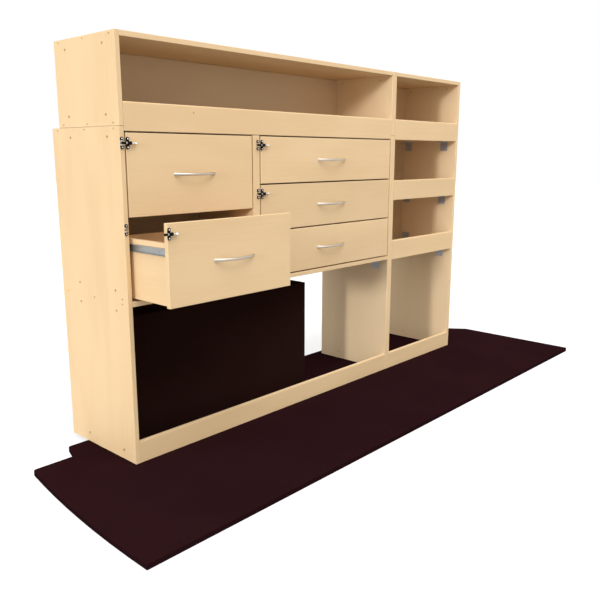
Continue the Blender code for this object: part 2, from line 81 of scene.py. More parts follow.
def noise(tree, spot, stretch, shift=(0, 0, 0), detail=2.0, rough=0.5, bent=0.0):
    """Noise with its own number of waves a metre along x, y and z."""
    moved = put(tree, "ShaderNodeMapping", {"Vector": spot, "Location": shift, "Scale": stretch})
    values = {
        "Vector": moved.outputs[0], "Scale": 1.0, "Detail": detail, "Roughness": rough, "Distortion": bent,
    }
    return put(tree, "ShaderNodeTexNoise", values).outputs[0]


def spread(tree, value, low, high, out_low=0.0, out_high=1.0):
    """Stretches a range of a value to another range, with soft ends."""
    values = {"Value": value, "From Min": low, "From Max": high, "To Min": out_low, "To Max": out_high}
    return put(tree, "ShaderNodeMapRange", values, interpolation_type="SMOOTHSTEP").outputs[0]


def tones(tree, share, first, second):
    """A colour between two, each a colour or another node's output."""
    values = {0: share}
    for socket, colour in ((6, first), (7, second)):
        values[socket] = colour if isinstance(colour, bpy.types.NodeSocket) else (*colour, 1)
    return put(tree, "ShaderNodeMix", values, data_type="RGBA").outputs[2]


def bump(tree, shader, height, deep):
    """A relief on the surface, deep metres at most."""
    made = put(tree, "ShaderNodeBump", {"Height": height, "Distance": deep})
    tree.links.new(made.outputs[0], shader.inputs["Normal"])


film_edge = 0.0004
ply_radians_a_metre = 2600.0


def phenolic(name, dark, light, top=None):
    """Brown phenolic film: a faint cloud, rolled pin marks and scuffs.

    Plies show through the sealed edge of a sheet that lies flat, below its top.
    """
    made, tree, shader = new_finish(name)
    spot = place(tree)
    cloud = noise(tree, spot, (3, 3, 3), detail=4.0)
    scuff = noise(tree, spot, (14, 190, 60), detail=3.0, bent=0.4)
    worn = spread(tree, scuff, 0.66, 0.80, 0.0, 0.10)
    film = tones(tree, spread(tree, cloud, 0.3, 0.7), dark, light)
    film = tones(tree, worn, film, tuple(2.0 * part for part in light))
    if top is not None:
        up = put(tree, "ShaderNodeSeparateXYZ", {0: spot}).outputs[2]
        plies = maths(tree, "SINE", maths(tree, "MULTIPLY", up, ply_radians_a_metre))
        below = maths(tree, "LESS_THAN", up, top - film_edge)
        edge = maths(tree, "MULTIPLY", below, spread(tree, plies, -0.2, 0.9, 0.0, 0.45))
        film = tones(tree, edge, film, tuple(0.45 * part for part in dark))
    tree.links.new(film, shader.inputs["Base Color"])
    tree.links.new(spread(tree, scuff, 0.35, 0.75, 0.52, 0.66), shader.inputs["Roughness"])
    shader.inputs["Specular IOR Level"].default_value = 0.0
    pins = noise(tree, spot, (900, 900, 900), detail=1.0)
    bump(tree, shader, pins, 0.00006)
    return made


floor_top = 0.0147
floor_dark = (0.0180, 0.0056, 0.0068)
floor_light = (0.0212, 0.0066, 0.0080)
floor_finish = phenolic("floor_phenolic", floor_dark, floor_light, floor_top)
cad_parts["floor_panel"].data.materials[0] = floor_finish


# ---- Wheel arch cover --------------------------------------------------------------------------
# Three boards of the same film-faced plywood, glued and screwed into a box with no back or bottom.
# It stands on the floor panel in the left bay and keeps the load off the van's wheel arch.

cover_dark = (0.0215, 0.0085, 0.0068)
cover_light = (0.0247, 0.0098, 0.0080)
cover_finish = phenolic("cover_phenolic", cover_dark, cover_light)
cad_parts["wheel_arch_cover"].data.materials[0] = cover_finish


# ---- Carcass panels and boards -----------------------------------------------------------------
# 15 mm maple-faced plywood, cut square, with a thin maple band ironed on each front edge and clear
# satin lacquer. Sides and partition are cut with the grain upright, and all the rest lengthwise.

board = 0.015
band_thick = 0.0012
ply_thick = 0.0030
raw_reach = 0.0009
figure_radians = 34.0
figure_weight = 0.035
fibre_weight = 0.30
cloud_weight = 0.70
maple_light = (0.832, 0.596, 0.338)
maple_middle = (0.778, 0.543, 0.297)
maple_dark = (0.640, 0.420, 0.210)
maple_pale = (0.800, 0.660, 0.470)
maple_inside_shade = (0.420, 0.270, 0.130)
worn_rim = (0.90, 0.70, 0.44)
band_glue = (0.42, 0.26, 0.12)
ply_across = (0.46, 0.29, 0.155)
ply_along = (0.64, 0.45, 0.27)
zinc = (0.390, 0.400, 0.400)
bracket_zinc = (0.500, 0.500, 0.550)


def maple(
    name, low, high, along, thick, raw, number, metal=None, band=True, pale=0.0, dim=1.0,
    other_face_painted_light=None, inside_painted_shade=0.0, plate=(zinc, 0.75),
):
    """Lacquered maple plywood for one board between two corners.

    The grain runs along one axis and the veneers lie across another. raw lists the cut edges that
    are left bare, as (axis, place), and metal the (axis, sign, place) past which it is plate, a
    colour and how metallic it is. pale and dim are how far this sheet is paler or darker than the
    rest. The tuple after them, (axis, sign, pale, dim), paints light and shade on the sheet's other
    face: a painted shade under flat boards, and paler, lighter inner faces of sides. The number after
    that is how far a painted shade darkens the inside of a tray.
    """
    made, tree, shader = new_finish(name)
    spot = place(tree)
    axes = put(tree, "ShaderNodeSeparateXYZ", {0: spot}).outputs
    facing = put(tree, "ShaderNodeTexCoord").outputs["Normal"]
    facing = put(tree, "ShaderNodeSeparateXYZ", {0: facing}).outputs
    shift = (0.37 * number, 0.71 * number, 1.13 * number)

    def streaks(lengthwise, across, **how):
        stretch = [across] * 3
        stretch[along] = lengthwise
        return noise(tree, spot, stretch, shift, **how)

    rings = streaks(0.45, 3.0, detail=1.5, bent=0.25)
    figure = maths(tree, "SINE", maths(tree, "MULTIPLY", rings, figure_radians))
    fibres = streaks(7.0, 330.0, detail=3.0, rough=0.6)
    flecks = streaks(55.0, 900.0, detail=1.0)
    clouds = streaks(1.6, 6.0, detail=3.0)
    shade = maths(tree, "MULTIPLY", figure, figure_weight)
    shade = maths(tree, "ADD", shade, maths(tree, "MULTIPLY", fibres, fibre_weight))
    shade = maths(tree, "ADD", shade, maths(tree, "MULTIPLY", clouds, cloud_weight))
    share = spread(tree, shade, 0.36, 0.66)

    def veneer(paler, factor):
        pair = []
        for plain in (maple_light, maple_middle):
            pair.append(tuple(factor * Vector(plain).lerp(Vector(maple_pale), paler)))
        return tones(tree, share, *pair)

    colour = veneer(pale, dim)
    # Painted light and shade on the other face: undersides darker, inner faces of sides paler.
    if other_face_painted_light:
        axis, sign, paler, factor = other_face_painted_light
        over = maths(tree, "GREATER_THAN", maths(tree, "MULTIPLY", facing[axis], float(sign)), 0.5)
        colour = tones(tree, over, colour, veneer(paler, factor))
    colour = tones(tree, spread(tree, flecks, 0.60, 0.78, 0.0, 0.13), colour, maple_dark)

    depths = []
    for axis in range(3):
        middle = (low[axis] + high[axis]) / 2
        away = maths(tree, "ABSOLUTE", maths(tree, "SUBTRACT", axes[axis], middle))
        depths.append(maths(tree, "SUBTRACT", (high[axis] - low[axis]) / 2, away))
    # Painted shade: the inside faces of a tray are blended towards a deep brown.
    if inside_painted_shade:
        above = maths(tree, "LESS_THAN", axes[2], high[2] - 0.002)
        inside = maths(tree, "MULTIPLY", above, maths(tree, "GREATER_THAN", facing[2], 0.5))
        for axis in (0, 1):
            off = maths(tree, "SUBTRACT", axes[axis], (low[axis] + high[axis]) / 2)
            inward = maths(tree, "LESS_THAN", maths(tree, "MULTIPLY", off, facing[axis]), -0.001)
            inside = maths(tree, "MAXIMUM", inside, inward)
        colour = tones(tree, maths(tree, "MULTIPLY", inside, inside_painted_shade), colour, maple_inside_shade)
    least = maths(tree, "MINIMUM", depths[0], depths[1])
    most = maths(tree, "MAXIMUM", depths[0], depths[1])
    rim = maths(tree, "MAXIMUM", least, maths(tree, "MINIMUM", most, depths[2]))
    rubbed = noise(tree, spot, (38, 38, 38), shift, detail=3.0)
    rim = maths(tree, "ADD", rim, maths(tree, "MULTIPLY", rubbed, -0.0012))
    colour = tones(tree, spread(tree, rim, -0.0004, 0.0009, 0.30, 0.0), colour, worn_rim)

    if band:
        inward = maths(tree, "SUBTRACT", axes[1], low[1])
        seam = maths(tree, "ABSOLUTE", maths(tree, "SUBTRACT", inward, band_thick))
        colour = tones(tree, spread(tree, seam, 0.00008, 0.0003, 0.22, 0.0), colour, band_glue)
    if raw:
        bare = 0.0
        for axis, edge in raw:
            off = maths(tree, "ABSOLUTE", maths(tree, "SUBTRACT", axes[axis], edge))
            square = maths(tree, "GREATER_THAN", maths(tree, "ABSOLUTE", facing[axis]), 0.5)
            here = maths(tree, "MULTIPLY", maths(tree, "LESS_THAN", off, raw_reach), square)
            bare = maths(tree, "MAXIMUM", bare, here)
        through = maths(tree, "SUBTRACT", axes[thick], low[thick])
        plies = maths(tree, "SINE", maths(tree, "MULTIPLY", through, 2 * math.pi / ply_thick))
        layer = tones(tree, spread(tree, plies, -0.35, 0.35), ply_across, ply_along)
        colour = tones(tree, maths(tree, "MULTIPLY", bare, 0.85), colour, layer)

    gloss = spread(tree, fibres, 0.3, 0.7, 0.47, 0.57)
    if metal:
        worked = None
        for axis, sign, edge in metal:
            beyond = "GREATER_THAN" if sign > 0 else "LESS_THAN"
            past = maths(tree, beyond, axes[axis], edge + sign * 0.0002)
            worked = past if worked is None else maths(tree, "MAXIMUM", worked, past)
        spangle = noise(tree, spot, (120, 120, 120), detail=3.0)
        steel, metallic = plate
        dull = tuple(0.8 * part for part in steel)
        colour = tones(tree, worked, colour, tones(tree, spangle, steel, dull))
        tree.links.new(maths(tree, "MULTIPLY", worked, metallic), shader.inputs["Metallic"])
        gloss = maths(tree, "ADD", gloss, maths(tree, "MULTIPLY", worked, -0.14))
    tree.links.new(colour, shader.inputs["Base Color"])
    tree.links.new(gloss, shader.inputs["Roughness"])
    shader.inputs["Specular IOR Level"].default_value = 0.30
    bump(tree, shader, maths(tree, "ADD", fibres, maths(tree, "MULTIPLY", flecks, 0.5)), 0.00003)
    return made


upright_panels = {
    "drawer_unit_left_side": 1, "drawer_unit_right_side": -1,
    "shelf_unit_left_side": 1, "shelf_unit_right_side": -1,
    "drawer_unit_cubby_left_side": 1, "drawer_unit_cubby_right_side": -1,
    "shelf_unit_cubby_left_side": 1, "shelf_unit_cubby_right_side": -1,
}
for number, (node, inward) in enumerate(upright_panels.items()):
    low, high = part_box(node)
    inner = low.x + board if inward > 0 else high.x - board
    outer = low.x if inward > 0 else high.x
    low.x, high.x = min(inner, outer), max(inner, outer)
    raw = [(1, high.y), (2, low.z), (2, high.z)]
    # Inner faces are painted paler and a little lighter: painted light in the shaded openings.
    finish = maple(
        node + "_maple", low, high, 2, 0, raw, number, [(0, inward, inner)],
        other_face_painted_light=(0, inward, 0.35, 1.03), plate=(bracket_zinc, 0.40),
    )
    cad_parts[node].data.materials[0] = finish

low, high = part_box("drawer_unit_partition")
runner_out = 0.0095
low.x, high.x = low.x + runner_out, high.x - runner_out
finish = maple(
    "partition_maple", low, high, 2, 0, [(1, high.y), (2, low.z)], 9, [(0, 1, high.x), (0, -1, low.x)]
)
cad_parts["drawer_unit_partition"].data.materials[0] = finish

flat_boards = [
    "drawer_unit_top", "drawer_unit_deck", "shelf_unit_top", "shelf_unit_upper_shelf",
    "shelf_unit_lower_shelf", "drawer_unit_cubby_top", "drawer_unit_cubby_base",
    "shelf_unit_cubby_top", "shelf_unit_cubby_base",
]
boards_on_edge = [
    "drawer_unit_plinth", "shelf_unit_plinth", "shelf_unit_upper_lip", "shelf_unit_lower_lip",
    "drawer_unit_cubby_lip", "shelf_unit_cubby_lip",
]
for number, node in enumerate(flat_boards + boards_on_edge, 12):
    low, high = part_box(node)
    flat = node in flat_boards
    raw = [(1, high.y)] if flat else [(2, low.z)]
    dim = 0.95 if node == "shelf_unit_upper_lip" else 1.0
    # Undersides of flat boards are painted darker: painted shade under them.
    other_face_painted_light = (2, -1, 0.0, 0.84) if flat else None
    finish = maple(
        node + "_maple", low, high, 0, 2 if flat else 1, raw, number, band=flat, dim=dim, other_face_painted_light=other_face_painted_light
    )
    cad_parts[node].data.materials[0] = finish


# ---- Bracket and panel fixings -----------------------------------------------------------------
# Socket-head steel bolts go through the panels, with brassed heads outside and zinc ones on the
# brackets. Zinc cross-head screws hold the brackets, and brassed ones run into the boards' ends.

def alone(piece):
    """Selects one piece and nothing else, and makes it the active one."""
    bpy.ops.object.select_all(action="DESELECT")
    piece.select_set(True)
    bpy.context.view_layer.objects.active = piece


def plated(name, bright, rough, smear=0.06):
    """Bright plate over cast or turned metal, with a faint ripple and wiped marks."""
    made, tree, shader = new_finish(name)
    spot = place(tree)
    marks = noise(tree, spot, (160, 500, 500), detail=3.0, bent=0.5)
    dull = tuple(0.84 * part for part in bright)
    tree.links.new(tones(tree, spread(tree, marks, 0.45, 0.75), bright, dull), shader.inputs["Base Color"])
    shader.inputs["Metallic"].default_value = 1.0
    tree.links.new(spread(tree, marks, 0.3, 0.75, rough, rough + smear), shader.inputs["Roughness"])
    bump(tree, shader, noise(tree, spot, (220, 220, 220)), 0.00002)
    return made


def turned(name, start, profile, sides):
    """A round piece along x: a disc at the start, drawn out and resized from ring to ring."""
    bpy.ops.object.select_all(action="DESELECT")
    first_along, first_radius = profile[0]
    middle = Vector(start) + Vector((first_along, 0, 0))
    bpy.ops.mesh.primitive_circle_add(
        vertices=sides, radius=first_radius, fill_type="NGON", location=middle, rotation=(0, math.pi / 2, 0)
    )
    made = bpy.context.object
    made.name = name
    bpy.ops.object.transform_apply(location=True, rotation=True, scale=True)
    bpy.ops.object.mode_set(mode="EDIT")
    bpy.ops.mesh.select_all(action="SELECT")
    for (before, was), (along, radius) in zip(profile, profile[1:]):
        step = (along - before, 0, 0)
        bpy.ops.mesh.extrude_region_move(TRANSFORM_OT_translate={"value": step})
        middle = Vector(start) + Vector((along, 0, 0))
        grow = radius / was
        bpy.ops.transform.resize(value=(1, grow, grow), center_override=middle)
    bpy.ops.mesh.select_all(action="SELECT")
    bpy.ops.mesh.normals_make_consistent(inside=False)
    bpy.ops.object.mode_set(mode="OBJECT")
    bpy.ops.object.shade_smooth_by_angle(angle=math.radians(28))
    return made


def heads_of(master, places, name, finish, body):
    """Copies of a head that faces -x, one at each (place, way it faces), joined into one piece."""
    copies = []
    for spot, way in places:
        made = master.copy()
        made.data = master.data.copy()
        bpy.context.scene.collection.objects.link(made)
        made.location = spot
        made.rotation_mode = "QUATERNION"
        made.rotation_quaternion = Vector((-1, 0, 0)).rotation_difference(Vector(way))
        copies.append(made)
    alone(copies[0])
    for made in copies:
        made.select_set(True)
    bpy.ops.object.transform_apply(location=True, rotation=True, scale=True)
    if len(copies) > 1:
        bpy.ops.object.join()
    joined = bpy.context.view_layer.objects.active
    joined.name = name
    joined.data.materials.clear()
    joined.data.materials.append(finish)
    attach(joined, body)


def cross_head(name, radius):
    """A pan-head screw's head with a cross recess, facing -x."""
    profile = [
        (0, radius), (-0.34 * radius, radius), (-0.56 * radius, 0.90 * radius),
        (-0.70 * radius, 0.66 * radius), (-0.76 * radius, 0.34 * radius),
    ]
    head = turned(name, (0, 0, 0), profile, 20)
    for wide, tall in ((0.28, 1.05), (1.05, 0.28)):
        bpy.ops.object.select_all(action="DESELECT")
        bpy.ops.mesh.primitive_cube_add(size=1, location=(-0.72 * radius, 0, 0))
        slot_cutter = bpy.context.object
        slot_cutter.scale = (0.66 * radius, wide * radius, tall * radius)
        alone(head)
        cut = head.modifiers.new("recess", "BOOLEAN")
        cut.operation = "DIFFERENCE"
        cut.solver = "EXACT"
        cut.object = slot_cutter
        bpy.ops.object.modifier_apply(modifier="recess")
        bpy.data.objects.remove(slot_cutter)
    return head


rack_zero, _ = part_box("drawer_unit_left_side")
_, rack_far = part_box("shelf_unit_right_side")
brassed_bolt = plated("brassed_bolt", (0.500, 0.335, 0.155), 0.34)
brassed_screw = plated("brassed_screw", (0.580, 0.410, 0.205), 0.34)
zinc_screw = plated("zinc_screw", (0.50, 0.47, 0.43), 0.26)

bolt_radius = 0.0035
socket_head = turned("socket_head", (0.0002, 0, 0), [
    (0, bolt_radius), (-0.0008, bolt_radius), (-0.0014, 0.90 * bolt_radius), (-0.0017, 0.72 * bolt_radius),
    (-0.0017, 0.42 * bolt_radius), (-0.0007, 0.38 * bolt_radius),
], 12)
small_screw = cross_head("small_screw", 0.0025)
bolt_rows = (0.0615, 0.2595)
cubby_bolt_level = 1.2210
foot_bolt_level = 0.0310
left_bolt_levels = (cubby_bolt_level, 1.0320, 0.9715, 0.5320, 0.4710, foot_bolt_level)
right_bolt_levels = (
    cubby_bolt_level, 1.0320, 0.9715, 0.7685, 0.7205, 0.5165, 0.4685, foot_bolt_level,
)
left_screws = (
    (0.0260, 1.2430), (0.1615, 1.2430), (0.2930, 1.2430), (0.0280, 1.0085), (0.1610, 1.0085),
    (0.2930, 1.0085), (0.0270, 0.9935), (0.1800, 0.9935), (0.3330, 0.9935), (0.0270, 0.5100),
    (0.0280, 0.4950), (0.1800, 0.4950), (0.3330, 0.4950),
)
over_deck = 0.6
right_screws = tuple((y, z) for y, z in left_screws if z > over_deck) + (
    (0.0280, 0.7445), (0.1800, 0.7445), (0.2650, 0.7445),
    (0.0280, 0.4925), (0.1800, 0.4925), (0.3330, 0.4925),
)
for side, x, way, levels, screws in (
    ("left", rack_zero.x, -1, left_bolt_levels, left_screws),
    ("right", rack_far.x, 1, right_bolt_levels, right_screws),
):
    bolts = [((x, rack_zero.y + y, rack_zero.z + z), (way, 0, 0)) for z in levels for y in bolt_rows]
    heads_of(socket_head, bolts, f"panel_bolts_{side}", brassed_bolt, "rack")
    ends = [((x, rack_zero.y + y, rack_zero.z + z), (way, 0, 0)) for y, z in screws]
    heads_of(small_screw, ends, f"panel_screws_{side}", brassed_screw, "rack")

bracket_plate = 0.0025
bracket_rows = (0.0625, 0.2600)
bolt_along, screw_along = 0.0165, 0.0345
free_faces = {
    "drawer_unit": (("drawer_unit_top", -1), ("drawer_unit_deck", -1)),
    "shelf_unit": (
        ("shelf_unit_top", -1), ("shelf_unit_upper_shelf", -1), ("shelf_unit_lower_shelf", -1),
        ("shelf_unit_upper_shelf", 1), ("shelf_unit_lower_shelf", 1),
    ),
    "drawer_unit_cubby": (("drawer_unit_cubby_base", 1),),
    "shelf_unit_cubby": (("shelf_unit_cubby_base", 1),),
}
bracket_bolts, bracket_screws, bolt_ends = [], [], []
for unit, faces in free_faces.items():
    for side, out in (("left", 1), ("right", -1)):
        low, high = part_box(f"{unit}_{side}_side")
        face_x = low.x + board if out > 0 else high.x - board
        for node, up in faces:
            low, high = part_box(node)
            level = high.z if up > 0 else low.z
            for row in bracket_rows:
                y = rack_zero.y + row
                for along, group in ((bolt_along, bracket_bolts), (screw_along, bracket_screws)):
                    group.append(((face_x + out * bracket_plate, y, level + up * along), (out, 0, 0)))
                    on_board = (face_x + out * along, y, level + up * (bracket_plate + 0.0003))
                    group.append((on_board, (0, 0, up)))
        height = cubby_bolt_level if "cubby" in unit else foot_bolt_level
        for row in bolt_rows:
            bolt_ends.append(((face_x, rack_zero.y + row, rack_zero.z + height), (out, 0, 0)))
heads_of(socket_head, bracket_bolts, "bracket_bolts", zinc_screw, "rack")
heads_of(small_screw, bracket_screws, "bracket_screws", zinc_screw, "rack")
heads_of(socket_head, bolt_ends, "bolt_ends", brassed_screw, "rack")
lip_low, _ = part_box("drawer_unit_cubby_lip")
lip_screw_x = 0.2613
lip_screw_z = 1.0456
lip_place = (rack_zero.x + lip_screw_x, lip_low.y, rack_zero.z + lip_screw_z)
heads_of(small_screw, [(lip_place, (0, -1, 0))], "lip_screw", brassed_screw, "rack")


# ---- Back boards -------------------------------------------------------------------------------
# 9 mm maple-faced plywood let in behind the shelves and the drawers, grain lengthwise, with the
# same lacquer. Nailed between the sides, so no edge of it shows from the front. Each sheet is
# painted paler and darker by its own amount, a painted shade for the deep opening it closes.

back_boards_painted_shade = {
    "drawer_unit_back": (0.5, 0.84), "shelf_unit_back": (0.0, 0.77),
    "drawer_unit_cubby_back": (0.5, 0.84), "shelf_unit_cubby_back": (0.0, 0.90),
}
# Each pair is (pale, dim): painted shade for the back of its opening.
for number, (node, (pale, dim)) in enumerate(back_boards_painted_shade.items(), 31):
    low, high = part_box(node)
    raw = [(2, low.z), (2, high.z), (0, low.x), (0, high.x)]
    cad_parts[node].data.materials[0] = maple(
        node + "_maple", low, high, 0, 1, raw, number, band=False, pale=pale, dim=dim
    )


# ---- Drawer boxes ------------------------------------------------------------------------------
# Trays of 12 mm plywood with the grain running round them, glued at the corners, lacquered inside
# and out. The steel channel of a runner is screwed to each side and shows when a drawer is open.

runner_proud = 0.0085
runner_space = 0.0127
box_wall = 0.012
for number in range(1, 6):
    node = f"drawer_{number}_box"
    low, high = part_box(node)
    low.x, high.x = low.x + runner_proud, high.x - runner_proud
    metal = [(0, 1, high.x), (0, -1, low.x)]
    raw = [(2, high.z), (2, low.z)]
    # The inside of each tray is painted darker: painted shade.
    finish = maple(node + "_maple", low, high, 1, 0, raw, 40 + number, metal, band=False, inside_painted_shade=0.30)
    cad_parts[node].data.materials[0] = finish

runner_screw = cross_head("runner_screw", 0.0028)
runner_places = (0.030, 0.125, 0.220)
runner_start = 0.019
runner_drop = 0.0245
runner_web = 0.0012
handle_screw_side = 0.0740
front_screw_side = 0.060
front_screw_low = 0.030
front_screw_high = 0.022
carcass_screws = []
for number in range(1, 6):
    low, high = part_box(f"drawer_{number}_box")
    front_low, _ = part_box(f"drawer_{number}_front")
    level = high.z - runner_drop
    drawer_screws = []
    for x, out in ((low.x + runner_proud, -1), (high.x - runner_proud, 1)):
        for along in runner_places:
            y = front_low.y + runner_start + along
            drawer_screws.append(((x + out * runner_web, y, level), (out, 0, 0)))
            face_x = x + out * runner_space
            shut_y = rack_zero.y + runner_start + along
            carcass_screws.append(((face_x - out * runner_web, shut_y, level), (-out, 0, 0)))
    drawer = f"drawer_{number}"
    heads_of(runner_screw, drawer_screws, f"{drawer}_runner_screws", zinc_screw, drawer)

    inside_y = low.y + box_wall
    middle_x = (low.x + high.x) / 2
    handle_low, handle_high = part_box(f"drawer_{number}_handle")
    handle_z = (handle_low.z + handle_high.z) / 2
    fixing = []
    for side in (-1, 1):
        fixing.append(((middle_x + side * handle_screw_side, inside_y, handle_z), (0, 1, 0)))
    for x in (low.x + front_screw_side, high.x - front_screw_side):
        for z in (low.z + front_screw_low, high.z - front_screw_high):
            fixing.append(((x, inside_y, z), (0, 1, 0)))
    heads_of(small_screw, fixing, f"{drawer}_front_screws", zinc_screw, drawer)
heads_of(runner_screw, carcass_screws, "runner_screws", zinc_screw, "rack")
bpy.data.objects.remove(runner_screw)
bpy.data.objects.remove(small_screw)
bpy.data.objects.remove(socket_head)


# ---- Drawer fronts -----------------------------------------------------------------------------
# Inset fronts of the same 15 mm plywood, grain lengthwise, banded on all four edges and screwed
# from inside to their boxes. An even 5 mm gap runs round each.

for number, dim in enumerate((0.98, 0.965, 1.0, 0.935, 1.0), 1):
    node = f"drawer_{number}_front"
    low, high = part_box(node)
    finish = maple(node + "_maple", low, high, 0, 1, [], 50 + number, band=False, dim=dim)
    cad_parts[node].data.materials[0] = finish


# ---- Handles -----------------------------------------------------------------------------------
# Shallow bows of die-cast zinc, polished and nickel plated, a hand's width long. Each is held by
# two screws from inside the drawer, whose heads bear on the box's front wall.

satin_nickel = plated("handle_nickel", (0.56, 0.50, 0.43), 0.29, 0.07)
bow_sides, bow_steps = 24, 44
waist = Vector((0.0060, 0.0074))
foot = Vector((0.0045, 0.0100))
spare = 0.004


def bow_handle(name, low, high):
    """An oval bar, slimmer in depth and taller towards its feet, bowed and cut off at the front."""
    length, depth = high.x - low.x, high.y - low.y
    outer = (length ** 2 / 4 + depth ** 2) / (2 * depth)
    middle = outer - waist.x / 2
    run = 2 * math.asin(length / 2 / outer) * middle + 2 * spare
    bpy.ops.object.select_all(action="DESELECT")
    bpy.ops.mesh.primitive_circle_add(
        vertices=bow_sides, radius=0.5, fill_type="NGON",
        location=(-run / 2, 0, 0), rotation=(0, math.pi / 2, 0),
    )
    bar = bpy.context.object
    bar.name = name
    bar.scale = (foot.y, foot.x, 1)
    bpy.ops.object.transform_apply(location=True, rotation=True, scale=True)
    bpy.ops.object.mode_set(mode="EDIT")
    bpy.ops.mesh.select_all(action="SELECT")
    was = foot
    for step in range(1, bow_steps + 1):
        share = abs(2 * step / bow_steps - 1) ** 2
        size = waist.lerp(foot, share)
        bpy.ops.mesh.extrude_region_move(TRANSFORM_OT_translate={"value": (run / bow_steps, 0, 0)})
        centre = (run * (step / bow_steps - 0.5), 0, 0)
        bpy.ops.transform.resize(value=(1, size.x / was.x, size.y / was.y), center_override=centre)
        was = size
    bpy.ops.mesh.select_all(action="SELECT")
    bpy.ops.mesh.normals_make_consistent(inside=False)
    bpy.ops.object.mode_set(mode="OBJECT")
    bow = bar.modifiers.new("bow", "SIMPLE_DEFORM")
    bow.deform_method = "BEND"
    bow.deform_axis = "Z"
    bow.angle = run / middle
    bpy.ops.object.modifier_apply(modifier="bow")
    bar.location = ((low.x + high.x) / 2, low.y + waist.x / 2, (low.z + high.z) / 2)
    bpy.ops.object.transform_apply(location=True, rotation=True, scale=True)
    bpy.ops.object.mode_set(mode="EDIT")
    bpy.ops.mesh.select_all(action="SELECT")
    bpy.ops.mesh.bisect(plane_co=(0, high.y, 0), plane_no=(0, 1, 0), use_fill=True, clear_outer=True)
    bpy.ops.object.mode_set(mode="OBJECT")
    bpy.ops.object.shade_smooth_by_angle(angle=math.radians(40))
    return bar


for number in range(1, 6):
    node = f"drawer_{number}_handle"
    handle = bow_handle(f"bow_handle_{number}", *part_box(node))
    handle.data.materials.append(satin_nickel)
    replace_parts(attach(handle, f"drawer_{number}"), node)


# ---- Latches -----------------------------------------------------------------------------------
# A black nylon body on each drawer guides a steel bolt, pulled by its knob and pushed back by a
# spring. The bolt's nose is sleeved in black and runs between the steel cheeks of the keeper.

def copy_of(node, name):
    """A new piece from a node's shape, with its loose triangles merged into one skin of quads."""
    made = bpy.data.objects.new(name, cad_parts[node].data.copy())
    bpy.context.scene.collection.objects.link(made)
    alone(made)
    bpy.ops.object.mode_set(mode="EDIT")
    bpy.ops.mesh.select_all(action="SELECT")
    bpy.ops.mesh.remove_doubles(threshold=0.00002)
    bpy.ops.mesh.dissolve_limited(angle_limit=math.radians(0.5))
    bpy.ops.mesh.normals_make_consistent(inside=False)
    bpy.ops.object.mode_set(mode="OBJECT")
    made.data.materials.clear()
    return made


nylon_black = (0.0025, 0.0022, 0.0020)
nylon_dusty = (0.0060, 0.0052, 0.0046)


def nylon(name):
    """Black glass-filled nylon: fine texture from the mould, a soft sheen, greyed high spots."""
    made, tree, shader = new_finish(name)
    spot = place(tree)
    grain = noise(tree, spot, (1500, 1500, 1500), detail=2.0)
    cloud = noise(tree, spot, (90, 90, 90), detail=3.0)
    dust = spread(tree, cloud, 0.4, 0.75)
    tree.links.new(tones(tree, dust, nylon_black, nylon_dusty), shader.inputs["Base Color"])
    tree.links.new(spread(tree, cloud, 0.3, 0.7, 0.40, 0.52), shader.inputs["Roughness"])
    shader.inputs["Specular IOR Level"].default_value = 0.10
    bump(tree, shader, grain, 0.00003)
    return made, tree, shader


black_nylon = nylon("latch_nylon")[0]
bright_steel = plated("bright_steel", (0.80, 0.76, 0.71), 0.16, 0.08)
nickel_screw = plated("nickel_screw", (0.97, 0.95, 0.93), 0.30)

